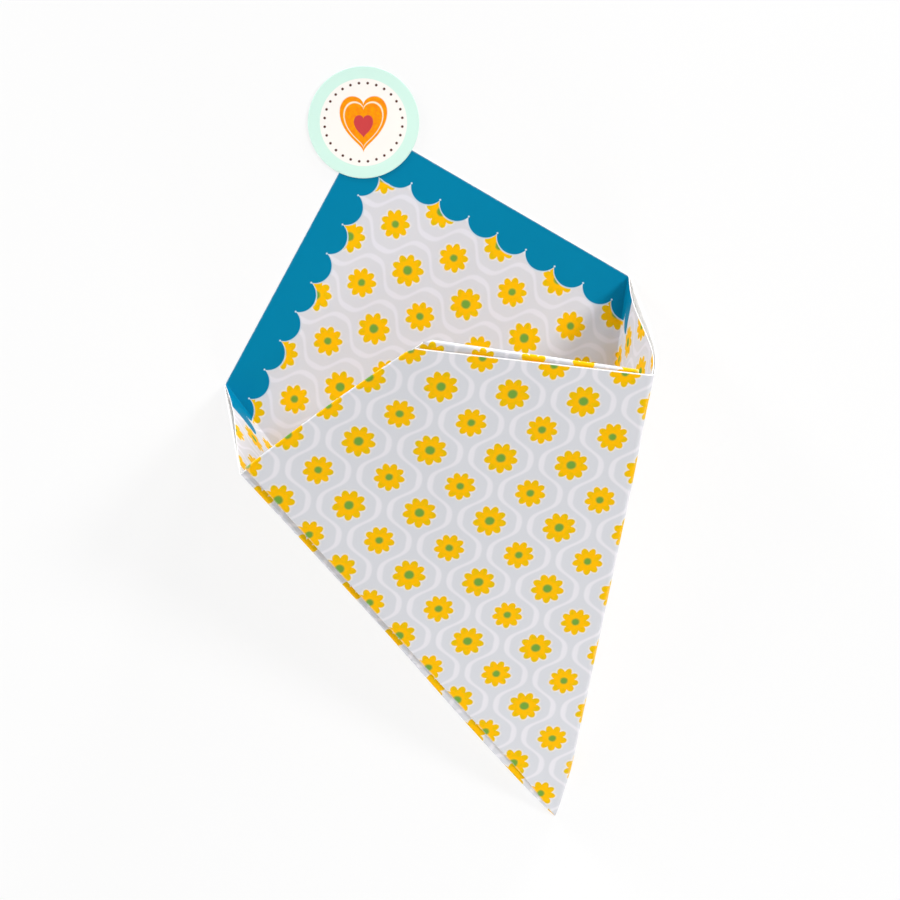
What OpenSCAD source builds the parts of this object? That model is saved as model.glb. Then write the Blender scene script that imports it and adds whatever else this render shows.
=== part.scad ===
// Folded paper cone pouch, lying on its back with the mouth open, and its round sticker
// One square sheet is halved on its diagonal, then folded on four creases that all meet at the tip

/* [Sheet] */
// Side of the square sheet before it is folded
sheet_side = 200; // [120:1:300]
// Thickness of one layer of paper
paper = 0.15; // [0.1:0.01:0.3]
// Air left between layers that lie on each other
layer_gap = 0.1; // [0.05:0.01:0.4]

/* [Folds] */
// Angle of the back at the tip; each side wall takes half of what it leaves of a right angle
back_angle = 45; // [36:0.5:54]
// How much wider the front stands than one flap, which leaves a strip of the inner flap bare
front_slack = 1.8; // [0.8:0.1:4]
// How far the outer flap's cut edge lies below the mouth line
set_back = 2; // [0.5:0.1:5]
// How far the inner flap's cut edge lies below the mouth line, taken up by the folds
edge_loss = 0.8; // [0.2:0.1:2]
// How far below the mouth line the inner flap's end is folded in
tuck_back = 1.8; // [0.5:0.1:4]
// Turn of the inner flap's tucked edge, which rises towards the middle of the mouth
tuck_turn = 2; // [0:0.1:4]
// Radius of the pressed tip
tip_radius = 0.6; // [0.4:0.05:1.5]

/* [Sticker] */
// Diameter of the round sticker on the top corner
sticker_d = 22; // [12:0.5:30]
// Thickness of the sticker
sticker_t = 0.15; // [0.1:0.01:0.3]
// How far to the side of the corner the sticker's middle is stuck
sticker_aside = -1.4; // [-4:0.1:4]
// How far beyond the corner the sticker's middle is stuck
sticker_beyond = 1.3; // [-4:0.1:4]

/* [Colours] */
// Printed paper
paper_colour = "Gainsboro";
// Sticker
sticker_colour = "Aquamarine";

/* [Hidden] */
$fn = 48;
// Distance from the tip to each cut edge, and both layers together
leg = sheet_side / 2;
wall = 2 * paper;
lap = wall + layer_gap;
bead = 0.58 * wall;
// Both layers where they are pressed round a tucked end
pressed = 0.9 * wall;
// Crease directions, as angles at the tip from the axis of the flat sheet
side_crease = back_angle / 2;
front_crease = 45;
flap_end = 90;
// Front sector, and the rise of its plane over the back that closes the four walls
side_angle = front_crease - side_crease;
front_angle = flap_end - front_crease + front_slack;
cos_rise = (cos(side_angle) - sin(side_crease) * sin(front_angle / 2))
    / (cos(side_crease) * cos(front_angle / 2));
rise = acos(cos_rise);
// Turn at each crease, from flat
side_fold = atan2(cos(front_angle / 2) * sin(rise),
    sin(front_angle / 2) * cos(side_crease) - cos(front_angle / 2) * cos_rise * sin(side_crease));
front_fold = atan2(cos(side_crease) * sin(rise),
    sin(side_crease) * cos(front_angle / 2) - cos(side_crease) * cos_rise * sin(front_angle / 2));
// Direction of the far crease as the flap sees it, across which its end is tucked
far_crease = front_crease + front_angle;
// Distance from the tip to each flap's cut edge
outer_reach = leg - set_back;
inner_reach = leg - edge_loss;
// Overall length, with the origin under the middle
apex_y = leg * sqrt(2);
mid_y = (apex_y + sticker_beyond + sticker_d / 2 - tip_radius) / 2;
roomy = 4 * sheet_side;

// Unit vector at an angle from the axis, and the point of the cut edge in that direction
function dir(a) = [sin(a), cos(a)];
function edge(a) = leg / cos(abs(a) - 45) * dir(a);
// Point at distance ka along direction a and kb along direction b
function meet(a, ka, b, kb) = [
    (ka * cos(b) - kb * cos(a)) / sin(a - b),
    (kb * sin(a) - ka * sin(b)) / sin(a - b)
];

// A flat piece of the double layer, half above and half below its middle
module panel(points) {
    linear_extrude(wall, center = true)
        polygon(points);
}

// Turns its children about a crease that runs from the tip in direction a
module fold_at(a, turn) {
    rotate(turn, [sin(a), cos(a), 0])
        children();
}

// Rounded back of a crease
module crease(a, length) {
    rotate([0, 0, -a])
        rotate([-90, 0, 0])
            cylinder(h = length, r = bead);
}

// Section of a fold that goes right round: half a ring with a short straight run at each end
module half_ring(r) {
    difference() {
        circle(r + pressed / 2);
        circle(r - pressed / 2);
        translate([-2 * r - wall, -2 * r - wall])
            square([4 * r + 2 * wall, 2 * r + wall]);
    }
    for (side = [-r, r])
        translate([side - pressed / 2, -wall])
            square([pressed, wall]);
}

// Flap on the right-hand crease: its face, and its end folded in across the line
// that stands square on direction a at distance far; depth is the radius of that fold
module flap(reach, a, far, depth) {
    corner = reach * dir(front_crease);
    peak = meet(front_crease, reach, a, far);
    heel = meet(0, 0, a, far);
    point = meet(front_crease, reach, 0, 0);
    span = [peak * dir(a + 90), heel * dir(a + 90)];
    panel([[0, 0], corner, peak, heel]);
    rotate([0, 0, -a])
        translate([min(span) + paper, far, depth])
            rotate([0, 90, 0])
                linear_extrude(abs(span[1] - span[0]) - wall)
                    half_ring(depth);
    translate([0, 0, 2 * depth])
        rotate([0, 0, -a])
            translate([0, 2 * far, 0])
                mirror([0, 1, 0])
                    rotate([0, 0, a])
                        panel([peak, point, heel]);
}

// Right-hand side wall with the flap on it; shelf lifts that flap clear of the other one,
// and reach is the length of the flap's crease
module side_wall(shelf, reach) {
    across = shelf * dir(front_crease + 90);
    strip = shelf > 0 ? [edge(front_crease) + across, across] : [];
    fold_at(side_crease, -side_fold) {
        panel(concat([[0, 0], edge(side_crease), edge(front_crease)], strip));
        translate([across[0], across[1], 0]) {
            crease(front_crease, reach - wall);
            fold_at(front_crease, -front_fold)
                children();
        }
    }
    crease(side_crease, norm(edge(side_crease)) - wall);
}

module folded_sheet() {
    color(paper_colour)
        translate([0, -mid_y, wall / 2])
            intersection() {
                union() {
                    panel([[0, 0], edge(side_crease), edge(0), edge(-side_crease)]);
                    side_wall(2 * lap, outer_reach)
                        flap(outer_reach, far_crease - tuck_turn / 2, inner_reach, lap / 2);
                    mirror([1, 0, 0])
                        side_wall(0, inner_reach)
                            flap(inner_reach, far_crease + tuck_turn, leg - tuck_back, lap / 2);
                    sphere(tip_radius);
                }
                translate([-roomy / 2, -roomy / 2, -wall / 2])
                    cube(roomy);
            }
}

module sticker() {
    color(sticker_colour)
        translate([sticker_aside, apex_y + sticker_beyond - mid_y, wall])
            cylinder(h = sticker_t, d = sticker_d);
}

folded_sheet();
sticker();
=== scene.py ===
"""Folded paper cone pouch with a round sticker, lying on its back with the mouth open."""
import math

import bmesh
import bpy
import numpy as np
from mathutils import Matrix, Vector


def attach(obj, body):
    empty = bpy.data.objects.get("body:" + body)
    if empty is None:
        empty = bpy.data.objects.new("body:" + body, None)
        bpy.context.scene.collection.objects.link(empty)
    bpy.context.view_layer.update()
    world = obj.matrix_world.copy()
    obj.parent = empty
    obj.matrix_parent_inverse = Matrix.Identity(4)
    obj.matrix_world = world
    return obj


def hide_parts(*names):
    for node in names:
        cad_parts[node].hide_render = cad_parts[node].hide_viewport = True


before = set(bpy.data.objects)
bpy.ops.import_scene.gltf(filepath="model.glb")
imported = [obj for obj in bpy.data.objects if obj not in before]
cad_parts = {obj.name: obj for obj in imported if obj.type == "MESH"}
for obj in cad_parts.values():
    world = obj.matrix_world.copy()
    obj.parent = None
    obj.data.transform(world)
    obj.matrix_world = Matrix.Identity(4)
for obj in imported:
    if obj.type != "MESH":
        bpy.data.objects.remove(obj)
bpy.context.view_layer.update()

# Lengths in millimetres, as in the part's source; meshes are written in metres
MM = 0.001
LEG = 100.0
PAPER = 0.15
STICKER_D = 22.0
STICKER_T = 0.15
TIP_RADIUS = 0.6
APEX_Y = LEG * math.sqrt(2)
STICKER_AT = (-1.4, APEX_Y + 1.3)
# How far the layers part everywhere, and at open cut edges
PART_ALL = 0.012
PART_OPEN = 0.07
# Share of the parting at open edges that the back's inner layer has, and that a tucked edge has
BACK_SHARE = 0.3
TUCKED_SHARE = 0.15
# Clear height under the sheet, and under the sticker
FLOOR_GAP = 0.005
STICKER_GAP = 0.01
TIP = np.array([0.0, -(STICKER_AT[1] + STICKER_D / 2 - TIP_RADIUS) / 2, PAPER + PART_ALL + FLOOR_GAP])

# Angles at the tip, measured on the flat sheet from its axis, and half a crease's own width
SIDE_CREASE = math.radians(22.5)
FRONT_CREASE = math.radians(45.0)
FLAP_END = math.radians(90.0)
CREASE_HALF = math.radians(0.24)
FLAP_START = FRONT_CREASE + CREASE_HALF
CREASE_KNOTS = [0.0, SIDE_CREASE - CREASE_HALF, SIDE_CREASE + CREASE_HALF,
                FRONT_CREASE - CREASE_HALF, FLAP_START]
# Angle of the whole front, between its two creases
FRONT_ANGLE = math.radians(46.8)

# Outer flap, from the right: the angle of its crease in the front plane, loss at its cut edge, shelf,
# tuck line, radius of the tuck, skew of its leg of the sheet, how far its end fold lies in at the tip
# and how much less per millimetre, and how far its side wall's layers bow outward at the mouth, as
# one and two half waves across the wall; last the swell of its front crease, where along the crease
# it starts to fade, and over what length
OUTER_FLAP = dict(
    front=math.radians(23.4), loss=1.65, shelf=0.76,
    tuck_at=math.radians(91.05), tuck_far=99.75, tuck_radius=0.18,
    skew=0.0, end_in=(0.92, 0.0137),
    bow_in=(0.67, -0.82), bow_out=(1.85, -0.3), swell=(0.38, 75.0, 20.0))
# Inner flap, from the left
INNER_FLAP = dict(
    front=math.radians(22.71), loss=0.6, shelf=0.0,
    tuck_at=math.radians(92.95), tuck_far=98.02, tuck_radius=0.38,
    skew=1.0, end_in=(0.0, 0.0),
    bow_in=(-0.45, -0.35), bow_out=(0.0, 0.0), swell=(0.5, 25.0, 35.0))
# Depth of the dent in the front beside the left crease, and how far from the tip it starts
DENT = 1.2
DENT_START = 45.0
# How far the outer layer stands off at the tip, and over what length
BLUNT = 0.3
BLUNT_REACH = 4.0
# Width of the flap that takes part in the swell of its crease, and length over which the swell rises
SWELL_REACH = 6.0
SWELL_RISE = 10.0
# Length over which the shelf rises from the tip
SHELF_RISE = 12.0
# Share of the shelf that is left towards the tip, where nothing is tucked between the flaps, and where
# that starts, across the flap and along it
PRESSED = 0.48
PRESS_START = math.radians(50.0)
PRESS_WIDTH = math.radians(25.0)
PRESS_REACH = 42.0
PRESS_FADE = 18.0
# Part of the flap that is drawn in with its end fold, and length over which that rises from the tip
DRAWN_START = math.radians(70.0)
DRAWN_WIDTH = math.radians(20.0)
DRAWN_RISE = 14.0
# Skew of a leg: how far it stands out beside the top corner, how much less per millimetre along it, and
# the length over which it rises from the corner
SKEW_START = 1.5
SKEW_SLOPE = 0.029
SKEW_RISE = 9.0
# Where the inner and the outer face close at the tip, along the pouch's axis
TIP_INSIDE = 1.5
TIP_OUTSIDE = -0.2

# Columns of the grid: back, side crease, side wall, front crease, flap up to its peak and beyond; and
# the turns of the end fold
COLUMNS = (16, 8, 28, 8, 22, 22)
END_TURN = np.radians([0.0, 30.0, 60.0, 90.0])
# Share of the way from the tip to the first edge, stations round a tuck, along a tucked end,
# and back into the slit between the two layers
BODY_SHARE = np.concatenate([[0.0], 0.02 + 0.98 * (1 - (1 - np.linspace(0, 1, 36)) ** 1.7)])
TUCK_TURN = np.linspace(0.0, math.pi, 8)[1:]
END_SHARE = np.linspace(0.0, 1.0, 9)[1:]
SLIT_SHARE = np.array([0.0, 0.12, 0.3, 0.6, 1.0])
SLIT_DEPTH = 16.0
STATIONS = len(BODY_SHARE) + len(TUCK_TURN) + len(END_SHARE)

# Paler ink along edges, part rubbed ink and part painted highlight on fold crests and cut edges: how much
# less than on a cut edge it shows on a crease, the end fold and a tuck
CREASE_LESS = 0.12
END_LESS = 0.06
TUCK_LESS = 0.08
NO_EDGE = 99.0

# Shift of the print against the folds: outer face on the right and on the left, inner face; and its
# turn on the outer flap
RIGHT_SHIFT = np.array([2.9, -1.6])
LEFT_SHIFT = np.array([-0.1, 1.4])
INNER_SHIFT = np.array([0.9, 0.2])
PRINT_TURN = math.radians(0.46)
# Where the inner flap lies hidden under the outer one, and its print goes over to the mouth's shift
HIDDEN_START = math.radians(50.0)
HIDDEN_WIDTH = math.radians(14.0)

# Sticker: rise of its curled edge, where the curl starts below its middle, stations round its rim,
# rings of its face and where they lie, and stations around
STICKER_CURL = 0.2
CURL_START = 1.0
RIM_STATIONS = 9
FACE_RINGS = np.linspace(0.15, 0.98, 12)
SPOKES = 97

# Meshes, in metres: points that merge, edges that collapse; and the angle of a sharp edge
MERGE = 2e-7
COLLAPSE = 1e-7
SHARP = math.radians(35.0)


def smooth(value):
    """Smoothstep: 3v^2 - 2v^3 of the value held between 0 and 1."""
    v = np.clip(value, 0.0, 1.0)
    return v * v * (3.0 - 2.0 * v)


def wall_way(angle):
    """Way across the side wall: 0 on its side crease, 1 on its front crease."""
    return (angle - SIDE_CREASE) / (FRONT_CREASE - SIDE_CREASE)


def turn_along(bend, arc):
    """Turn of the moving frame after an arc at a constant sideways bend, by Rodrigues' formula:
    I + sin(q s)/q W + (1 - cos(q s))/q^2 W^2 with q^2 = 1 + bend^2, one matrix per arc s."""
    q = math.sqrt(1.0 + bend * bend)
    w = np.array([[0.0, -1.0, 0.0], [1.0, 0.0, bend], [0.0, -bend, 0.0]])
    s = np.asarray(arc, float)[:, None, None]
    return np.eye(3) + np.sin(q * s) / q * w + (1.0 - np.cos(q * s)) / q**2 * (w @ w)


def half_frames(angle, side_fold, front_fold):
    """Frames of one half of the folded sheet, one per angle at the tip. The columns are the ray from
    the tip, the direction across the rays, and the outward side. The back and the flaps turn about
    the tip without bending, and a crease bends by its fold over its own width."""
    bends = [0.0, side_fold / (2 * CREASE_HALF), 0.0, front_fold / (2 * CREASE_HALF), 0.0]
    base = np.array([[0.0, 1.0, 0.0], [1.0, 0.0, 0.0], [0.0, 0.0, -1.0]])
    frames = np.empty((len(angle), 3, 3))
    for at, after, bend in zip(CREASE_KNOTS, CREASE_KNOTS[1:] + [FLAP_END], bends):
        past = angle >= at
        frames[past] = base @ turn_along(bend, angle[past] - at)
        base = base @ turn_along(bend, [after - at])[0]
    return frames


def front_rise():
    """Rise of the front plane over the back that closes the four flat walls round the tip, from the
    spherical trapezoid: cos(wall) = sin(a) sin(b) + cos(a) cos(b) cos(rise), with a half the back
    and b half the front."""
    a, b = SIDE_CREASE, FRONT_ANGLE / 2
    wall = FRONT_CREASE - SIDE_CREASE
    return math.acos((math.cos(wall) - math.sin(a) * math.sin(b)) / (math.cos(a) * math.cos(b)))


def close_folds(flap):
    """Folds at the two creases of one half that lay its flap in the front plane. Newton's method on two
    wanted values: the flap's outward side leans to neither side, and its crease stands at the
    flap's own angle in the front plane."""
    def miss(folds):
        frames = half_frames(np.array([FRONT_CREASE, FLAP_END]), *folds)
        return np.array([frames[1, 0, 2], frames[0, 0, 0] - math.sin(flap["front"])])

    folds = np.radians([88.0, 80.0])
    step = 1e-6
    for _ in range(20):
        slope = np.stack([(miss(folds + step * e) - miss(folds - step * e)) / (2 * step)
                          for e in np.eye(2)], 1)
        folds = folds - np.linalg.solve(slope, miss(folds))
    return folds


def peak_angle(flap):
    """Angle at which the flap's cut edge meets its tuck line: reach cos(tuck - t) = far cos(t - 45)."""
    reach, far, tuck = LEG - flap["loss"], flap["tuck_far"], flap["tuck_at"]
    return math.atan2(far * math.cos(FRONT_CREASE) - reach * math.cos(tuck),
                      reach * math.sin(tuck) - far * math.sin(FRONT_CREASE))


def column_angles(flap):
    """Angles of the grid's columns for one half, close together on the creases, and the turn of the
    rounded fold that ends the flap: 0 on the sheet, up to a quarter turn on the fold."""
    edges = CREASE_KNOTS + [peak_angle(flap), FLAP_END]
    spans = [np.linspace(a, b, n, endpoint=False) for a, b, n in zip(edges, edges[1:], COLUMNS)]
    angle = np.concatenate(spans + [np.full(len(END_TURN), FLAP_END)])
    fold = np.concatenate([np.zeros(len(angle) - len(END_TURN)), END_TURN])
    return angle, fold


def edge_reach(angle, flap):
    """Distance from the tip to the cut edge: leg / cos(t - 45), less what the folds take up beyond
    the side crease. A skewed leg stands out a little beside the top corner."""
    rise = smooth(wall_way(angle))
    along = LEG * (1.0 - np.tan(FRONT_CREASE - np.minimum(angle, SIDE_CREASE)))
    skew = flap["skew"] * (SKEW_START - SKEW_SLOPE * along) * smooth(along / SKEW_RISE)
    return (LEG - flap["loss"] * rise + skew * (1.0 - rise)) / np.cos(angle - FRONT_CREASE)


def half_stations(angle, flap):
    """Distances from the tip of every station of every column: to the first edge, then round the
    tuck and along the tucked end, all held at the cut edge."""
    raw = edge_reach(angle, flap)
    ends_tucked = angle > peak_angle(flap) - 1e-9
    slant = np.where(ends_tucked, np.cos(angle - flap["tuck_at"]), 1.0)
    line = np.where(ends_tucked, flap["tuck_far"] / slant, raw)
    body = line[:, None] * BODY_SHARE
    turn = line[:, None] + flap["tuck_radius"] * TUCK_TURN / slant[:, None]
    last = turn[:, -1:]
    end = last + (raw[:, None] - last) * END_SHARE
    return np.minimum(np.concatenate([body, turn, end], 1), raw[:, None]), raw


def parting(angle, reach, raw, flap):
    """How far the inner layer stands inside and the outer layer outside the middle: a thin film of air,
    a little more at open cut edges, and the side wall's bow, a sum of one and two half waves across
    it, all fading to the bottom of the slit."""
    near = smooth((reach - raw + SLIT_DEPTH) / SLIT_DEPTH)
    turn = math.pi * np.clip(wall_way(angle), 0.0, 1.0)
    free = np.where(angle < peak_angle(flap), 1.0, TUCKED_SHARE)
    rise = smooth(wall_way(angle))
    inner, outer = (near * (one * np.sin(turn) + two * np.sin(2 * turn))
                    for one, two in (flap["bow_in"], flap["bow_out"]))
    open_edge = near * PART_OPEN * free
    gap_in = PART_ALL + open_edge * (BACK_SHARE + (1.0 - BACK_SHARE) * rise) - inner
    return gap_in, PART_ALL + open_edge * rise + outer


def upper_wall(angle):
    """Share of the flap's shelf and swell that its half follows: 0 up to the middle of the side wall,
    1 from the front crease on."""
    return smooth(2.0 * wall_way(angle) - 1.0)[:, None]


def tip_ramp(reach):
    """Straight rise of the shelf from 0 at the tip to 1."""
    return np.clip(reach / SHELF_RISE, 0.0, 1.0)


def shelf_height(angle, reach, flap):
    """How far a flap lies out from its own crease, less where it is pressed flat towards the tip."""
    across = smooth((angle - PRESS_START) / PRESS_WIDTH)[:, None]
    press = across * (1.0 - smooth((reach - PRESS_REACH) / PRESS_FADE))
    return flap["shelf"] * (1.0 - (1.0 - PRESSED) * press) * upper_wall(angle) * tip_ramp(reach)


def crease_swell(reach, flap):
    """How far a front crease stands out at a distance from the tip: it rises over the first
    centimetre and fades by a smoothstep."""
    most, fade_at, fade_over = flap["swell"]
    return most * smooth(reach / SWELL_RISE) * (1.0 - smooth((reach - fade_at) / fade_over))


def flap_share(angle, reach):
    """Share of the crease's swell left on the flap: 1 on the crease, 0 from SWELL_REACH off it."""
    off = np.clip(angle - FLAP_START, 0.0, None)[:, None] * reach
    return 1.0 - smooth(off / SWELL_REACH)


def crease_gain(angle, reach, flap, front_fold):
    """How much more of the print the outer layer shows outside the front crease than the flat sheet
    has there: the swell, and the arc round the shelf less the crease's own width."""
    arc = (flap["shelf"] * tip_ramp(reach) + PAPER) * front_fold - 2 * CREASE_HALF * reach
    turned = np.clip((FLAP_START - angle) / (2 * CREASE_HALF), 0.0, 1.0)[:, None]
    gain = crease_swell(reach, flap) * flap_share(angle, reach) + turned * np.clip(arc, 0.0, None)
    return gain * smooth(angle / SIDE_CREASE)[:, None]


def end_sideways(angle, fold, reach, flap):
    """Move across the rays: outward round the end fold, and inward where the end is drawn in."""
    most, less = flap["end_in"]
    drawn = smooth((angle - DRAWN_START) / DRAWN_WIDTH)[:, None] * smooth(reach / DRAWN_RISE)
    return (PAPER + PART_ALL) * np.sin(fold)[:, None] - (most - less * np.minimum(reach, LEG)) * drawn


def tucked_flap(angle, reach, sideways, high, flap, start):
    """Places of a flap in its own plane, their height over it, and their turn round the tuck. Past the
    tuck line a point goes round a half circle inward and then runs back."""
    tuck = flap["tuck_at"] - FLAP_START
    turned = (angle - FLAP_START)[:, None] - tuck
    along = reach * np.cos(turned) - sideways * np.sin(turned)
    aside = reach * np.sin(turned) + sideways * np.cos(turned)
    radius = flap["tuck_radius"]
    past = np.clip(along - flap["tuck_far"], 0.0, None)
    bend = np.clip(past / radius, 0.0, math.pi)
    run = past - radius * bend
    far = np.minimum(along, flap["tuck_far"]) + (radius + high) * np.sin(bend) - run
    tuck_ray = math.cos(tuck) * start[:, 0] + math.sin(tuck) * start[:, 1]
    tuck_side = -math.sin(tuck) * start[:, 0] + math.cos(tuck) * start[:, 1]
    plane = far[..., None] * tuck_ray + aside[..., None] * tuck_side
    return plane, (radius + high) * np.cos(bend) - radius, bend


def dent_depth(plane, hand):
    """Dent of the front's left half: half a sine wave across it, which fades towards the tip."""
    level = plane[..., 1] / math.cos(front_rise())
    off_left = np.arctan2(plane[..., 0] * hand, level) + INNER_FLAP["front"]
    share = np.clip(off_left / INNER_FLAP["front"], 0.0, 1.0)
    fade = smooth((np.linalg.norm(plane, axis=-1) - DENT_START) / (LEG - DENT_START))
    return DENT * np.sin(math.pi * share) * fade


def half_points(angle, fold, flap, reach, lift, folds, hand):
    """Places of one half's points, their move across the rays, and how far the outside of the tuck
    takes the print beyond the sheet. On the back and side wall a point is the tip + reach x ray +
    (shelf + lift) x outward. On the flap it is laid in the flap's own plane."""
    frames = half_frames(angle, *folds)
    start = half_frames(np.array([FLAP_START]), *folds)[0]
    sideways = end_sideways(angle, fold, reach, flap)
    shelf = shelf_height(angle, reach, flap)
    swell = crease_swell(reach, flap)
    high = lift * np.cos(fold)[:, None]
    ray, across, outward = (frames[:, None, :, k] for k in range(3))
    cone = reach[..., None] * ray + sideways[..., None] * across + (shelf + high)[..., None] * outward
    cone = cone - (swell * upper_wall(angle))[..., None] * start[:, 1]
    plane, up, bend = tucked_flap(angle, reach, sideways, high, flap, start)
    plane = plane + (shelf + up - dent_depth(plane, hand))[..., None] * start[:, 2]
    plane = plane - (swell * flap_share(angle, reach))[..., None] * start[:, 1]
    on_flap = (angle > FLAP_START)[:, None]
    return np.where(on_flap[..., None], plane, cone), sideways, np.where(on_flap, high * bend, 0.0)


def edge_distance(angle, reach, raw, flap, inner):
    """Distance on the flat sheet to the nearest cut edge, and on the outer layer also to the creases,
    the tuck and the end fold, where the ink is painted paler: part rubbed ink, part painted highlight."""
    a = angle[:, None]
    cut = (raw[:, None] - reach) * np.cos(a - FRONT_CREASE)
    if inner:
        return cut
    creases = [reach * np.abs(np.sin(a - c)) + CREASE_LESS for c in (SIDE_CREASE, FRONT_CREASE)]
    end = reach * np.abs(np.sin(a - FLAP_END)) + END_LESS
    crest = flap["tuck_far"] + math.pi / 2 * flap["tuck_radius"]
    tuck = np.abs(reach * np.cos(a - flap["tuck_at"]) - crest) + TUCK_LESS
    tuck = np.where(a > peak_angle(flap), tuck, NO_EDGE)
    return np.minimum.reduce(creases + [cut, end, tuck])


def print_place(angle, reach, sideways, past, inner):
    """Place on the flat printed square, in millimetres. x = r sin t and y = r cos t turn by 45 degrees
    into the square's own axes; the inner layer is the other half, read from the opposite corner. The
    outer face's shift goes over from the left half to the right half under the back."""
    turn = 0.0 if inner else PRINT_TURN * smooth(wall_way(angle))
    t = (angle - turn)[:, None]
    x = reach * np.sin(t) + sideways * np.cos(t) + past[..., 0]
    y = reach * np.cos(t) - sideways * np.sin(t) + past[..., 1]
    p = (x - y) / math.sqrt(2) + LEG
    q = (-x - y) / math.sqrt(2) + LEG
    if inner:
        return np.stack([2 * LEG - q, 2 * LEG - p], -1) + INNER_SHIFT
    share = smooth((angle + SIDE_CREASE) / (2 * SIDE_CREASE))
    share = (share + smooth((-angle - HIDDEN_START) / HIDDEN_WIDTH))[:, None, None]
    return np.stack([p, q], -1) + LEFT_SHIFT + share * (RIGHT_SHIFT - LEFT_SHIFT)


def half_sheet(flap, hand):
    """One half of the sheet as a grid of columns by path stations. Each path runs from the tip along
    the inner layer to the cut edge, into the slit between the layers and out again, and back along
    the outer layer. hand is 1 for the right half and -1 for the left one, which is its mirror."""
    angle, fold = column_angles(flap)
    folds = close_folds(flap)
    reach, raw = half_stations(angle, flap)
    slit = raw[:, None] - SLIT_DEPTH * SLIT_SHARE
    tuck_way = np.array([hand * math.sin(flap["tuck_at"]), math.cos(flap["tuck_at"])])
    rows, spots, rims = [], [], []
    layers = [(reach, -1, PAPER, True), (slit, -1, 0.0, True), (slit[:, -2::-1], 1, 0.0, False),
              (reach[:, ::-1], 1, PAPER, False)]
    for r, sign, thick, inner in layers:
        gap_in, gap_out = parting(angle[:, None], r, raw[:, None], flap)
        lift = sign * ((gap_in if inner else gap_out) + thick)
        if not inner:
            blunt = BLUNT * (1.0 - smooth(r / BLUNT_REACH))
            lift = lift + blunt * smooth(angle / SIDE_CREASE - 1.0)[:, None]
        if thick == 0.0 and inner:
            lift[:, -1] = 0.0
        place, sideways, beyond = half_points(angle, fold, flap, r, lift, folds, hand)
        rows.append(place)
        gain = 0.0 if inner else crease_gain(angle, r, flap, folds[1])
        past = beyond[..., None] * tuck_way
        spots.append(print_place(hand * angle, r, hand * (sideways - gain), past, inner))
        rims.append(edge_distance(angle, r, raw, flap, inner))
    place = np.concatenate(rows, 1)
    rise = front_rise() / 2
    axis = np.array([0.0, math.cos(rise), math.sin(rise)])
    place[:, 0] = TIP_INSIDE * axis
    place[:, -1] = TIP_OUTSIDE * axis
    place = place * np.array([hand, 1.0, 1.0]) + TIP
    return place, np.concatenate(spots, 1), np.concatenate(rims, 1)


def grid_quads(columns, stations):
    """Corner numbers of the quads between neighbouring columns and stations of a grid."""
    number = np.arange(columns * stations).reshape(columns, stations)
    corners = [number[:-1, :-1], number[1:, :-1], number[1:, 1:], number[:-1, 1:]]
    return np.stack(corners, -1).reshape(-1, 4)


def mesh_piece(name, points, quads, materials, kinds=None, spots=None, rim=None):
    """Piece from arrays: points in millimetres, quads, one material number a quad, the flat place of
    each point for the print, and its distance to the nearest edge. Collapsed quads are merged away,
    and a gap of up to four corners that they leave is closed."""
    mesh = bpy.data.meshes.new(name)
    mesh.from_pydata((points * MM).tolist(), [], quads.tolist())
    if kinds is not None:
        mesh.polygons.foreach_set("material_index", kinds.astype(np.int32))
    if spots is not None:
        flat = spots[quads.reshape(-1)] / (2 * LEG)
        layer = mesh.uv_layers.new(name="print_place")
        layer.data.foreach_set("uv", flat.astype(np.float32).ravel())
    if rim is not None:
        layer = mesh.attributes.new("rim", "FLOAT", "POINT")
        layer.data.foreach_set("value", rim.astype(np.float32))
    for material in materials:
        mesh.materials.append(material)
    work = bmesh.new()
    work.from_mesh(mesh)
    bmesh.ops.remove_doubles(work, verts=work.verts, dist=MERGE)
    bmesh.ops.dissolve_degenerate(work, edges=work.edges, dist=COLLAPSE)
    bmesh.ops.holes_fill(work, edges=[edge for edge in work.edges if edge.is_boundary], sides=4)
    bmesh.ops.recalc_face_normals(work, faces=work.faces)
    work.to_mesh(mesh)
    work.free()
    mesh.shade_smooth()
    mesh.set_sharp_from_angle(angle=SHARP)
    piece = bpy.data.objects.new(name, mesh)
    bpy.context.scene.collection.objects.link(piece)
    return piece


def folded_paper(materials):
    """The whole sheet: the left half's columns mirrored and in turn, then the right half's. Material 0
    is on the outer face, 1 on the inner face and 2 in the slit."""
    right, left = half_sheet(OUTER_FLAP, 1), half_sheet(INNER_FLAP, -1)
    place, spots, rim = (np.concatenate([b[:0:-1], a], 0) for a, b in zip(right, left))
    columns, stations = place.shape[:2]
    quads = grid_quads(columns, stations)
    step = np.tile(np.arange(stations - 1), columns - 1)
    kinds = np.where(step < STATIONS - 1, 1, np.where(step < stations - STATIONS, 2, 0))
    return mesh_piece("paper_pouch", place.reshape(-1, 3), quads, materials, kinds,
                      spots.reshape(-1, 2), rim.reshape(-1))


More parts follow.
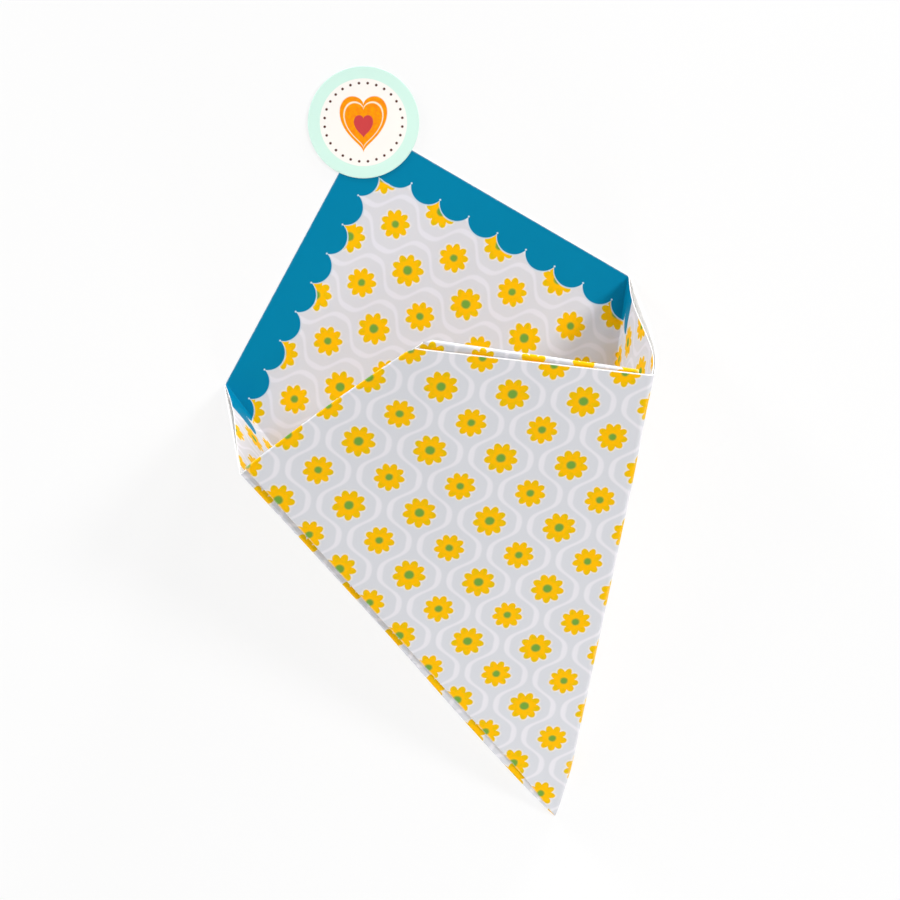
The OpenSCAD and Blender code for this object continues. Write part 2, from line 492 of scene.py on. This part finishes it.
def round_sticker(materials):
    """The sticker: a profile turned about its axis. The profile runs from the middle of the under side
    to the rounded rim and back over the face; the half that overhangs the corner curls up as the
    square of its distance from it."""
    radius, half = STICKER_D / 2, STICKER_T / 2
    turn = np.linspace(-math.pi / 2, math.pi / 2, RIM_STATIONS)
    flat = np.concatenate([[0.0], FACE_RINGS * radius])
    level = np.zeros(len(flat))
    out = np.concatenate([flat, radius - half + half * np.cos(turn), flat[::-1]])
    up = np.concatenate([level, half + half * np.sin(turn), level + 2 * half])
    around = np.linspace(0.0, 2 * math.pi, SPOKES)
    x = out[None, :] * np.cos(around)[:, None]
    y = out[None, :] * np.sin(around)[:, None]
    curl = STICKER_CURL * (np.clip(y + CURL_START, 0.0, None) / radius) ** 2
    z = up[None, :] + curl + TIP[2] + PAPER + PART_ALL + BACK_SHARE * PART_OPEN + STICKER_GAP
    place = np.stack([x + STICKER_AT[0], y + STICKER_AT[1] + TIP[1], z], -1)
    return mesh_piece("round_sticker", place.reshape(-1, 3), grid_quads(*place.shape[:2]), materials)


def ink(red, green, blue):
    """Linear colour of a screen colour given in 0 to 255."""
    c = np.array([red, green, blue]) / 255.0
    lin = np.where(c <= 0.04045, c / 12.92, ((c + 0.055) / 1.055) ** 2.4)
    return (*lin.tolist(), 1.0)


# Inks of the sheet's outer and inner face: ground and wavy lines
OUTER_INKS = (ink(213, 214, 219), ink(229, 227, 232))
INNER_INKS = (ink(214, 214, 220), ink(225, 224, 232))
# Daisies: petals near the eye and at their tips, the eye, and the pale glow round the petals
PETAL_BRIGHT = ink(252, 188, 4)
PETAL_DEEP = ink(220, 187, 8)
EYE_GREEN = ink(114, 162, 62)
GLOW_PALE = ink(240, 231, 220)
# Scalloped band, its outline and the dots on its cusps
BAND_BLUE = ink(0, 128, 168)
BAND_OUTLINE = ink(196, 214, 226)
BAND_DOT = ink(218, 236, 244)
# Paper: its ink painted paler at edges and folds, part rubbed off and part painted highlight, and
# unprinted
# Pale ink of the edges and folds, part rubbed ink and part painted highlight
RUBBED_AND_HIGHLIT = ink(240, 238, 238)
BARE = ink(253, 252, 250)
# Sticker: ring, middle, dots, the two tones of the heart, its line and its core
RING_MINT = ink(213, 246, 234)
MIDDLE_CREAM = ink(252, 248, 243)
DOT_BROWN = ink(84, 44, 36)
HEART_LIGHT = ink(252, 163, 3)
HEART_DEEP = ink(249, 128, 24)
HEART_LINE = ink(255, 240, 214)
HEART_CORE = ink(206, 70, 72)


class Nodes:
    """Short ways to add and join the nodes of one tree."""

    def __init__(self, tree):
        self.tree = tree

    def add(self, kind, **settings):
        """New node with its settings."""
        node = self.tree.nodes.new(kind)
        for name, value in settings.items():
            setattr(node, name, value)
        return node

    def join(self, value, socket):
        """Link from a socket, or a plain value set on it."""
        if isinstance(value, bpy.types.NodeSocket):
            self.tree.links.new(value, socket)
        else:
            socket.default_value = value

    def calc(self, operation, *values, clamp=False):
        """Result of a Math node."""
        node = self.add("ShaderNodeMath", operation=operation, use_clamp=clamp)
        for value, socket in zip(values, node.inputs):
            self.join(value, socket)
        return node.outputs[0]

    def vector(self, operation, *values):
        """Result of a Vector Math node."""
        node = self.add("ShaderNodeVectorMath", operation=operation)
        for value, socket in zip(values, node.inputs):
            self.join(value, socket)
        return node.outputs["Value" if operation == "LENGTH" else "Vector"]

    def mix(self, share, low, high, blend="MIX"):
        """Colour between two, by a share; 0, 6 and 7 are the Mix node's sockets for colours."""
        node = self.add("ShaderNodeMix", data_type="RGBA", blend_type=blend)
        for value, socket in ((share, 0), (low, 6), (high, 7)):
            self.join(value, node.inputs[socket])
        return node.outputs[2]

    def pick(self, share, low, high):
        """Vector between two, by a share; 0, 4 and 5 are the Mix node's sockets for vectors."""
        node = self.add("ShaderNodeMix", data_type="VECTOR")
        for value, socket in ((share, 0), (low, 4), (high, 5)):
            self.join(value, node.inputs[socket])
        return node.outputs[1]

    def inside(self, distance, limit, soft):
        """1 where distance is under the limit, 0 over it, with a soft step between."""
        gap = self.calc("SUBTRACT", limit, distance)
        return self.calc("ADD", self.calc("DIVIDE", gap, soft), 0.5, clamp=True)

    def split(self, vector):
        """First two parts of a vector."""
        node = self.add("ShaderNodeSeparateXYZ")
        self.join(vector, node.inputs[0])
        return node.outputs[0], node.outputs[1]

    def pair(self, x, y):
        """Vector of two values."""
        node = self.add("ShaderNodeCombineXYZ")
        self.join(x, node.inputs[0])
        self.join(y, node.inputs[1])
        return node.outputs[0]

    def noise(self, vector, scale, detail):
        """Noise texture on a vector."""
        node = self.add("ShaderNodeTexNoise")
        self.join(vector, node.inputs["Vector"])
        node.inputs["Scale"].default_value = scale
        node.inputs["Detail"].default_value = detail
        return node

    def group(self, tree, **values):
        """Node group with its inputs."""
        node = self.add("ShaderNodeGroup", node_tree=tree)
        for name, value in values.items():
            self.join(value, node.inputs[name])
        return node


COLOUR, NUMBER, VECTOR = "NodeSocketColor", "NodeSocketFloat", "NodeSocketVector"


def new_group(name, inputs, outputs):
    """Empty shader node group with named sockets, its nodes, and its two ends."""
    tree = bpy.data.node_groups.new(name, "ShaderNodeTree")
    for label, kind in inputs:
        tree.interface.new_socket(label, in_out="INPUT", socket_type=kind)
    for label, kind in outputs:
        tree.interface.new_socket(label, in_out="OUTPUT", socket_type=kind)
    nodes = Nodes(tree)
    return tree, nodes, nodes.add("NodeGroupInput"), nodes.add("NodeGroupOutput")


# Repeat of the print
PITCH = 2 * LEG / 15
HALF = (0.5, 0.5, 0.5)
# Daisies: petals and their turn, tip and eye of a big one and how much less a small one has, share of
# the tip at which the notches lie
PETALS = 9.0
PETAL_PHASE = 0.11
PETAL_TIP = 3.2
SMALL_TIP = -0.27
EYE = 0.9
SMALL_EYE = -0.17
NOTCH = 0.7
# Glow round the petals: share that follows their outline, width beyond it, and strength
GLOW_FOLLOW = 0.6
GLOW_WIDTH = 0.22
GLOW_SHARE = 0.6
# Softness of the edges of petals, eye, glow and lines
PETAL_SOFT = 0.16
EYE_SOFT = 0.4
GLOW_SOFT = 0.4
LINE_SOFT = 0.36
# Unsteady outline: its grain and its size
WOBBLE_GRAIN = 0.55
WOBBLE = 0.22
# Deeper tone of the petals: grain of its cloud, strength of the cloud, growth outward, and start
TONE_GRAIN = 0.9
TONE_CLOUD = 2.0
TONE_GROWTH = 0.5
TONE_START = -0.75
# Wavy lines: swing, how much flatter than a cosine their bulges are, half width at an inflection and
# at a bulge, and where the two lines of a repeat lie
WAVE_SWING = 2.26
WAVE_FLAT = 0.44
LINE_THIN = 0.26
LINE_THICK = 0.56
LINE_PLACES = (0.25, 0.75)


def daisy_shape(n, place):
    """Distance to the middle of the nearest daisy, and the limits of its petals, glow and eye. Small
    daisies stand on a square lattice and big ones on its middles. A petal ends at
    notch + (tip - notch)(1 - s^2), where s is 0 on its middle line and 1 between two petals."""
    cell = n.vector("DIVIDE", place, (PITCH, PITCH, 1.0))

    def local(shifted):
        centred = n.vector("SUBTRACT", n.vector("FRACTION", shifted), HALF)
        return n.vector("MULTIPLY", centred, (PITCH, PITCH, 0.0))

    small, big = local(n.vector("ADD", cell, HALF)), local(cell)
    is_small = n.calc("LESS_THAN", n.vector("LENGTH", small), n.vector("LENGTH", big))
    grain = n.noise(place, WOBBLE_GRAIN, 1.0)
    wobble = n.vector("SCALE", n.vector("SUBTRACT", grain.outputs["Color"], HALF))
    wobble.node.inputs["Scale"].default_value = WOBBLE
    flower = n.vector("ADD", n.pick(is_small, big, small), wobble)
    flower = n.vector("MULTIPLY", flower, (1.0, 1.0, 0.0))
    x, y = n.split(flower)
    petal = n.calc("MULTIPLY", n.calc("ARCTAN2", x, y), PETALS / (2 * math.pi))
    petal = n.calc("SUBTRACT", n.calc("FRACT", n.calc("ADD", petal, 0.5 + PETAL_PHASE)), 0.5)
    off = n.calc("MULTIPLY", n.calc("ABSOLUTE", petal), 2.0)
    shape = n.calc("SUBTRACT", 1.0, n.calc("MULTIPLY", off, off))
    tip = n.calc("MULTIPLY_ADD", is_small, SMALL_TIP, PETAL_TIP)
    notch = n.calc("MULTIPLY", tip, NOTCH)
    rim = n.calc("ADD", notch, n.calc("MULTIPLY", n.calc("SUBTRACT", tip, notch), shape))
    glow = n.calc("ADD", n.calc("MULTIPLY", rim, GLOW_FOLLOW), n.calc("MULTIPLY", tip, 1.0 - GLOW_FOLLOW))
    glow = n.calc("ADD", glow, GLOW_WIDTH)
    eye = n.calc("MULTIPLY_ADD", is_small, SMALL_EYE, EYE)
    return n.vector("LENGTH", flower), rim, glow, eye


def wave_lines(n, place):
    """Distance to the nearest wavy line, and half the line's width there. A line swings to either side
    by c (1 + flat - flat c^2), where c is a cosine, and is wide on its bulges and thin between them.
    The distance across is divided by sqrt(1 + slope^2)."""
    across, down = n.split(place)
    phase = n.calc("MULTIPLY", down, 2 * math.pi / PITCH)
    bulge = n.calc("COSINE", phase)
    square = n.calc("MULTIPLY", bulge, bulge)
    swing = n.calc("MULTIPLY", n.calc("MULTIPLY", bulge, WAVE_SWING),
                   n.calc("MULTIPLY_ADD", square, -WAVE_FLAT, 1.0 + WAVE_FLAT))

    def line(offset, moved):
        turn = n.calc("DIVIDE", n.calc("SUBTRACT", moved, offset * PITCH), PITCH)
        turn = n.calc("FRACT", n.calc("ADD", turn, 0.5))
        return n.calc("MULTIPLY", n.calc("ABSOLUTE", n.calc("SUBTRACT", turn, 0.5)), PITCH)

    first, second = LINE_PLACES
    near = n.calc("MINIMUM", line(first, n.calc("SUBTRACT", across, swing)),
                  line(second, n.calc("ADD", across, swing)))
    slope = n.calc("MULTIPLY", n.calc("SINE", phase), WAVE_SWING * 2 * math.pi / PITCH)
    slope = n.calc("MULTIPLY", slope, n.calc("MULTIPLY_ADD", square, -3 * WAVE_FLAT, 1.0 + WAVE_FLAT))
    near = n.calc("DIVIDE", near, n.calc("SQRT", n.calc("MULTIPLY_ADD", slope, slope, 1.0)))
    return near, n.calc("MULTIPLY_ADD", square, LINE_THICK - LINE_THIN, LINE_THIN)


def daisy_print():
    """Printed ground of wavy lines with two sizes of daisy."""
    tree, n, start, end = new_group(
        "daisy_print", [("Place", VECTOR), ("Ground", COLOUR), ("Line", COLOUR)], [("Colour", COLOUR)])
    place = start.outputs["Place"]
    distance, rim, glow, eye = daisy_shape(n, place)
    near, half = wave_lines(n, place)
    cloud = n.calc("SUBTRACT", n.noise(place, TONE_GRAIN, 2.0).outputs["Fac"], 0.5)
    outward = n.calc("MULTIPLY_ADD", distance, TONE_GROWTH, TONE_START)
    tone = n.calc("MULTIPLY_ADD", cloud, TONE_CLOUD, outward, clamp=True)
    colour = n.mix(n.inside(near, half, LINE_SOFT), start.outputs["Ground"], start.outputs["Line"])
    shine = n.calc("MULTIPLY", n.inside(distance, glow, GLOW_SOFT), GLOW_SHARE)
    colour = n.mix(shine, colour, GLOW_PALE)
    colour = n.mix(n.inside(distance, rim, PETAL_SOFT), colour, n.mix(tone, PETAL_BRIGHT, PETAL_DEEP))
    colour = n.mix(n.inside(distance, eye, EYE_SOFT), colour, EYE_GREEN)
    n.join(colour, end.inputs["Colour"])
    return tree


# Scallops: repeat, where the row starts along the edge, radius, and depth of their middles
SCALLOP_PITCH = 6.52
SCALLOP_FIRST = 12.1
SCALLOP_RADIUS = 3.46
SCALLOP_MIDDLE = 4.24
# Where the band ends on the side walls, how much deeper it lies on the right, how far it fills the
# corner, and where the corner's own scallop stands along the right edge
BAND_END = 69.6
RIGHT_OUT = 0.55
CORNER_FILL = 7.0
FIRST_SCALLOP = 7.6
# Dots on the cusps, the outline's width, and softness of the band's edge and of its thin marks
DOT_DEPTH = 5.3
DOT_RADIUS = 0.15
OUTLINE = 0.26
BAND_SOFT = 0.12
MARK_SOFT = 0.2


def scallop_band():
    """Coloured band along the two cut edges of the top corner. Its inner edge is a row of arcs of one
    radius, so the band holds where depth < middle + sqrt(radius^2 - step^2)."""
    tree, n, start, end = new_group(
        "scallop_band", [("Place", VECTOR)], [("Band", NUMBER), ("Outline", NUMBER), ("Dots", NUMBER)])
    right, left = (n.calc("SUBTRACT", 2 * LEG, v) for v in n.split(start.outputs["Place"]))
    left_skew = n.calc("SUBTRACT", SKEW_START, n.calc("MULTIPLY", right, SKEW_SLOPE))
    legs = ((n.calc("ADD", right, RIGHT_OUT), left), (n.calc("ADD", left, left_skew), right))
    bands, lines, dots = [], [], []
    for edge, along in legs:
        turn = n.calc("DIVIDE", n.calc("SUBTRACT", along, SCALLOP_FIRST), SCALLOP_PITCH)
        step = n.calc("MULTIPLY", n.calc("SUBTRACT", n.calc("FRACT", turn), 0.5), SCALLOP_PITCH)
        rise = n.calc("SUBTRACT", SCALLOP_RADIUS ** 2, n.calc("MULTIPLY", step, step))
        limit = n.calc("ADD", n.calc("SQRT", n.calc("MAXIMUM", rise, 0.0)), SCALLOP_MIDDLE)
        within = n.inside(along, BAND_END, BAND_SOFT)
        bands.append(n.calc("MULTIPLY", n.inside(edge, limit, BAND_SOFT), within))
        cusp = n.calc("SUBTRACT", SCALLOP_PITCH / 2, n.calc("ABSOLUTE", step))
        away = n.vector("LENGTH", n.pair(cusp, n.calc("SUBTRACT", edge, DOT_DEPTH)))
        dots.append(n.calc("MULTIPLY", n.inside(away, DOT_RADIUS, MARK_SOFT), within))
        outline = n.inside(edge, n.calc("ADD", limit, OUTLINE), MARK_SOFT)
        lines.append(n.calc("MULTIPLY", outline, within))
    first = n.vector("SUBTRACT", n.pair(*legs[0]), (SCALLOP_MIDDLE, FIRST_SCALLOP, 0.0))
    first = n.vector("LENGTH", first)
    corner = n.inside(n.calc("MAXIMUM", right, left), CORNER_FILL, BAND_SOFT)
    corner = n.calc("MAXIMUM", corner, n.inside(first, SCALLOP_RADIUS, BAND_SOFT))
    corner_line = n.inside(first, SCALLOP_RADIUS + OUTLINE, MARK_SOFT)
    n.join(n.calc("MAXIMUM", corner, n.calc("MAXIMUM", *bands)), end.inputs["Band"])
    n.join(n.calc("MAXIMUM", *dots), end.inputs["Dots"])
    n.join(n.calc("MAXIMUM", corner_line, n.calc("MAXIMUM", *lines)), end.inputs["Outline"])
    return tree


# Paper: grain of its fibres and of its clouds per metre, weight of the clouds in the height, darkest
# cloud, and how the gloss goes with the fibres
FIBRE_GRAIN = 4200.0
CLOUD_GRAIN = 90.0
CLOUD_HEIGHT = 2.0
CLOUD_DARK = (0.965, 0.965, 0.965, 1.0)
CLOUD_LIGHT = (1.0, 1.0, 1.0, 1.0)
ROUGH_GAIN = 0.14
ROUGH_LEAST = 0.44
# Bump of the paper and its depth in metres, on the sheet and on the sticker, and the weak gloss of both
TOOTH_BUMP = 0.35
SHEET_TOOTH = 0.00003
STICKER_TOOTH = 0.00001
GLOSS = 0.05
# Paler ink at edges and folds, part rubbed ink and part painted highlight: grain of its ragged edge, how
# far that moves it to either side, width, softness, and share of the ink that is paled
RUB_HIGHLIGHT_GRAIN = 1600.0
RUB_HIGHLIGHT_RAGGED = 0.15
RUB_HIGHLIGHT_WIDTH = 0.08
RUB_HIGHLIGHT_SOFT = 0.2
RUB_HIGHLIGHT_SHARE = 0.35
# Light that passes through bare paper: its weight, and its reach in metres
GLEAM = 0.7
GLEAM_REACH = 0.0006


def paper_tooth():
    """Fibre grain of paper: fine noise for the height and gloss, and cloudy noise for tone."""
    tree, n, start, end = new_group(
        "paper_tooth", [("Vector", VECTOR)],
        [("Height", NUMBER), ("Tone", COLOUR), ("Roughness", NUMBER)])
    at = start.outputs["Vector"]
    fine = n.noise(at, FIBRE_GRAIN, 4.0).outputs["Fac"]
    cloud = n.noise(at, CLOUD_GRAIN, 3.0).outputs["Fac"]
    n.join(n.calc("ADD", fine, n.calc("MULTIPLY", cloud, CLOUD_HEIGHT)), end.inputs["Height"])
    n.join(n.mix(cloud, CLOUD_DARK, CLOUD_LIGHT), end.inputs["Tone"])
    n.join(n.calc("MULTIPLY_ADD", fine, ROUGH_GAIN, ROUGH_LEAST), end.inputs["Roughness"])
    return tree


def edge_wear_and_highlight():
    """Ink painted paler along folds and cuts, part rubbed ink and part painted highlight on fold crests
    and
    cut edges: where the distance to the edge, roughened by noise, is small."""
    tree, n, start, end = new_group(
        "edge_wear_and_highlight", [("Rim", NUMBER), ("Vector", VECTOR), ("Width", NUMBER)], [("Worn_and_lit", NUMBER)])
    rough = n.noise(start.outputs["Vector"], RUB_HIGHLIGHT_GRAIN, 3.0).outputs["Fac"]
    ragged = n.calc("MULTIPLY_ADD", rough, 2 * RUB_HIGHLIGHT_RAGGED, -RUB_HIGHLIGHT_RAGGED)
    rim = n.calc("ADD", start.outputs["Rim"], ragged)
    n.join(n.inside(rim, start.outputs["Width"], RUB_HIGHLIGHT_SOFT), end.inputs["Worn_and_lit"])
    return tree


def new_material(name):
    """Material with its Principled shader, ready to join."""
    material = bpy.data.materials.new(name)
    material.use_nodes = True
    nodes = Nodes(material.node_tree)
    shader = material.node_tree.nodes["Principled BSDF"]
    shader.inputs["Specular IOR Level"].default_value = GLOSS
    return material, nodes, shader


def finish_paper(n, shader, colour, tooth, depth):
    """Joins a colour, the tooth's tone, gloss and height to the shader."""
    toned = n.mix(1.0, colour, tooth.outputs["Tone"], "MULTIPLY")
    n.join(toned, shader.inputs["Base Color"])
    n.join(tooth.outputs["Roughness"], shader.inputs["Roughness"])
    bump = n.add("ShaderNodeBump")
    bump.inputs["Strength"].default_value = TOOTH_BUMP
    bump.inputs["Distance"].default_value = depth
    n.join(tooth.outputs["Height"], bump.inputs["Height"])
    n.join(bump.outputs["Normal"], shader.inputs["Normal"])


def printed_paper(name, groups, inks, banded):
    """Printed face of the sheet, laid by its own flat place, with its ink painted paler at the edges,
    part rubbed ink and part painted highlight; banded adds the coloured band of the inner face."""
    material, n, shader = new_material(name)
    flat = n.add("ShaderNodeUVMap", uv_map="print_place")
    place = n.vector("MULTIPLY", flat.outputs[0], (2 * LEG, 2 * LEG, 0.0))
    solid = n.add("ShaderNodeTexCoord").outputs["Object"]
    ground, line = inks
    colour = n.group(groups["print"], Place=place, Ground=ground, Line=line).outputs["Colour"]
    if banded:
        band = n.group(groups["band"], Place=place)
        for mark, tone in (("Outline", BAND_OUTLINE), ("Band", BAND_BLUE), ("Dots", BAND_DOT)):
            colour = n.mix(band.outputs[mark], colour, tone)
    # Paler ink along folds and cut edges: part rubbed ink, part painted highlight on the crests and edges
    rim = n.add("ShaderNodeAttribute", attribute_name="rim").outputs["Fac"]
    worn_and_lit = n.group(groups["wear_and_highlight"], Rim=rim, Vector=solid, Width=RUB_HIGHLIGHT_WIDTH).outputs["Worn_and_lit"]
    colour = n.mix(n.calc("MULTIPLY", worn_and_lit, RUB_HIGHLIGHT_SHARE), colour, RUBBED_AND_HIGHLIT)
    finish_paper(n, shader, colour, n.group(groups["tooth"], Vector=solid), SHEET_TOOTH)
    return material


def bare_paper(groups):
    """White unprinted paper of the cut edges and of the sheet's reverse."""
    material, n, shader = new_material("bare_paper")
    shader.inputs["Subsurface Weight"].default_value = GLEAM
    shader.inputs["Subsurface Scale"].default_value = GLEAM_REACH
    shader.inputs["Subsurface Radius"].default_value = (1.0, 1.0, 1.0)
    solid = n.add("ShaderNodeTexCoord").outputs["Object"]
    finish_paper(n, shader, BARE, n.group(groups["tooth"], Vector=solid), SHEET_TOOTH)
    return material


# Sticker's face: turn of the motif, radius of the cream middle, and the ring of dots
STICKER_TILT = math.radians(14.8)
CREAM_RADIUS = 8.6
RING_DOTS = 28.0
RING_RADIUS = 7.7
RING_DOT = 0.26
RING_SOFT = 0.12
# Heart: dip between its lobes, softness of its edge, height of its outer shapes and of its core, their
# sizes; and the blush's grain, strength and middle
HEART_DIP = 0.7
HEART_SOFT = 0.16
HEART_UP = -1.3
CORE_UP = -1.2
HEART_SIZES = (4.7, 3.95, 3.72)
CORE_SIZE = 1.9
BLUSH_GRAIN = 1.4
BLUSH_GAIN = 2.4
BLUSH_MIDDLE = 0.4


def sticker_face(groups):
    """Sticker: a pale ring round a cream middle with a plain heart motif. The heart holds where
    x^2 + (y - dip sqrt|x|)^2 < 1, in its own size."""
    material, n, shader = new_material("sticker_face")
    solid = n.add("ShaderNodeTexCoord").outputs["Object"]
    lay = n.add("ShaderNodeMapping", vector_type="POINT")
    middle = Vector((STICKER_AT[0], STICKER_AT[1] + TIP[1], 0.0))
    lay.inputs["Scale"].default_value = (1 / MM, 1 / MM, 0.0)
    lay.inputs["Rotation"].default_value = (0.0, 0.0, STICKER_TILT)
    lay.inputs["Location"].default_value = -(Matrix.Rotation(STICKER_TILT, 3, "Z") @ middle)
    n.join(solid, lay.inputs["Vector"])
    spot = lay.outputs[0]
    distance = n.vector("LENGTH", spot)

    def heart(up, size):
        own = n.vector("DIVIDE", n.vector("SUBTRACT", spot, (0.0, up, 0.0)), (size, size, 1.0))
        x, y = n.split(own)
        dip = n.calc("MULTIPLY", n.calc("SQRT", n.calc("ABSOLUTE", x)), HEART_DIP)
        away = n.vector("LENGTH", n.pair(x, n.calc("SUBTRACT", y, dip)))
        return n.inside(n.calc("MULTIPLY", away, size), size, HEART_SOFT)

    colour = n.mix(n.inside(distance, CREAM_RADIUS, RING_SOFT), RING_MINT, MIDDLE_CREAM)
    x, y = n.split(spot)
    turn = n.calc("FRACT", n.calc("MULTIPLY", n.calc("ARCTAN2", x, y), RING_DOTS / (2 * math.pi)))
    step = n.calc("MULTIPLY", n.calc("SUBTRACT", turn, 0.5), 2 * math.pi * RING_RADIUS / RING_DOTS)
    away = n.vector("LENGTH", n.pair(step, n.calc("SUBTRACT", distance, RING_RADIUS)))
    colour = n.mix(n.inside(away, RING_DOT, RING_SOFT), colour, DOT_BROWN)
    rough = n.calc("SUBTRACT", n.noise(spot, BLUSH_GRAIN, 3.0).outputs["Fac"], 0.5)
    deep = n.calc("MULTIPLY_ADD", rough, BLUSH_GAIN, BLUSH_MIDDLE, clamp=True)
    blush = n.mix(deep, HEART_LIGHT, HEART_DEEP)
    for size, tone in zip(HEART_SIZES, (blush, HEART_LINE, blush)):
        colour = n.mix(heart(HEART_UP, size), colour, tone)
    colour = n.mix(heart(CORE_UP, CORE_SIZE), colour, HEART_CORE)
    finish_paper(n, shader, colour, n.group(groups["tooth"], Vector=solid), STICKER_TOOTH)
    return material


# Studio, in metres: half the floor's side, its grey, and its share of plain white where it is seen
FLOOR_HALF = 3.0
FLOOR_GREY = (0.86, 0.86, 0.86, 1.0)
FLOOR_WHITE = 0.8
# World's light on the object, and what is added where it is seen
WORLD_LIGHT = 0.38
WORLD_SEEN = 0.62
# Lamps: direction, distance, size, watts, colour, and whether it shows as gloss
WHITE = (1.0, 1.0, 1.0)
LAMPS = {
    "key": ((1.0, 0.18, 0.9), 1.2, 0.32, 7.4, (1.0, 0.99, 0.98), True),
    "overhead": ((0.0, -0.2, 1.0), 1.3, 1.2, 1.6, WHITE, False),
    "mouth_right": ((0.8, 1.0, 0.2), 1.2, 0.3, 8.6, WHITE, False),
    "mouth_left": ((-0.6, 1.0, 0.2), 1.2, 0.3, 8.6, WHITE, False),
    "front": ((0.0, -1.0, 0.4), 0.35, 0.16, 0.30, WHITE, False),
    "left": ((-1.0, -0.4, 0.15), 1.2, 0.3, 4.0, WHITE, False),
}
# Camera: focal length on a 36 mm sensor, its right, up and backward ways, and its place from the tip in
# millimetres
LENS = 112.04
CAMERA_WAYS = np.array([[0.96615201, -0.25649354, -0.02759277],
                        [0.2545813, 0.96526661, -0.05872597],
                        [0.04169721, 0.04971361, 0.99789273]])
CAMERA_PLACE = np.array([21.64083342, 103.46918984, 554.23331155])


def pale_floor():
    """Flat floor that is nearly white where it is seen and keeps the object's shadow."""
    far = FLOOR_HALF
    corners = [(-far, -far, 0), (far, -far, 0), (far, far, 0), (-far, far, 0)]
    mesh = bpy.data.meshes.new("floor")
    mesh.from_pydata(corners, [], [(0, 1, 2, 3)])
    floor = bpy.data.objects.new("floor", mesh)
    bpy.context.scene.collection.objects.link(floor)
    material = bpy.data.materials.new("pale_floor")
    material.use_nodes = True
    material.node_tree.nodes.clear()
    n = Nodes(material.node_tree)
    dull = n.add("ShaderNodeBsdfDiffuse")
    dull.inputs["Color"].default_value = FLOOR_GREY
    path = n.add("ShaderNodeLightPath")
    seen = n.calc("MAXIMUM", path.outputs["Is Camera Ray"], path.outputs["Is Glossy Ray"])
    seen = n.calc("MAXIMUM", seen, path.outputs["Is Transmission Ray"])
    blend = n.add("ShaderNodeMixShader")
    n.join(n.calc("MULTIPLY", seen, FLOOR_WHITE), blend.inputs[0])
    n.join(dull.outputs[0], blend.inputs[1])
    n.join(n.add("ShaderNodeEmission").outputs[0], blend.inputs[2])
    n.join(blend.outputs[0], n.add("ShaderNodeOutputMaterial").inputs[0])
    mesh.materials.append(material)


def pale_world():
    """White world, brighter where it is seen than as light."""
    world = bpy.data.worlds.new("studio")
    bpy.context.scene.world = world
    world.use_nodes = True
    n = Nodes(world.node_tree)
    back = world.node_tree.nodes["Background"]
    seen = n.add("ShaderNodeLightPath").outputs["Is Camera Ray"]
    n.join(n.calc("MULTIPLY_ADD", seen, WORLD_SEEN, WORLD_LIGHT), back.inputs["Strength"])
    back.inputs["Color"].default_value = (*WHITE, 1.0)


def soft_lamp(name, toward, distance, size, power, colour, glossy):
    """Round area lamp in a direction from the origin, turned towards it."""
    data = bpy.data.lights.new(name, "AREA")
    data.shape = "DISK"
    data.size = size
    data.energy = power
    data.color = colour
    light = bpy.data.objects.new(name, data)
    bpy.context.scene.collection.objects.link(light)
    way = np.array(toward) / np.linalg.norm(toward)
    light.location = way * distance
    light.visible_glossy = glossy
    light.rotation_mode = "QUATERNION"
    light.rotation_quaternion = Vector(-way).to_track_quat("-Z", "Y")


def photo_camera():
    """Camera at the photograph's place."""
    data = bpy.data.cameras.new("photo_view")
    data.sensor_width = 36.0
    data.lens = LENS
    data.clip_start = 0.01
    data.clip_end = 20.0
    camera = bpy.data.objects.new("photo_view", data)
    bpy.context.scene.collection.objects.link(camera)
    place = np.eye(4)
    place[:3, :3] = CAMERA_WAYS.T
    place[:3, 3] = (CAMERA_PLACE + TIP) * MM
    camera.matrix_world = Matrix(place.tolist())
    bpy.context.scene.camera = camera


groups = {"print": daisy_print(), "band": scallop_band(), "tooth": paper_tooth(), "wear_and_highlight": edge_wear_and_highlight()}
outer_face = printed_paper("outer_print", groups, OUTER_INKS, False)
inner_face = printed_paper("inner_print", groups, INNER_INKS, True)
pouch = folded_paper([outer_face, inner_face, bare_paper(groups)])
sticker = round_sticker([sticker_face(groups)])

pale_floor()
pale_world()
for lamp, settings in LAMPS.items():
    soft_lamp(lamp, *settings)
photo_camera()
bpy.context.scene.view_settings.view_transform = "Standard"

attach(pouch, "root")
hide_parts("folded_sheet")
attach(sticker, "root")
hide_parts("sticker")
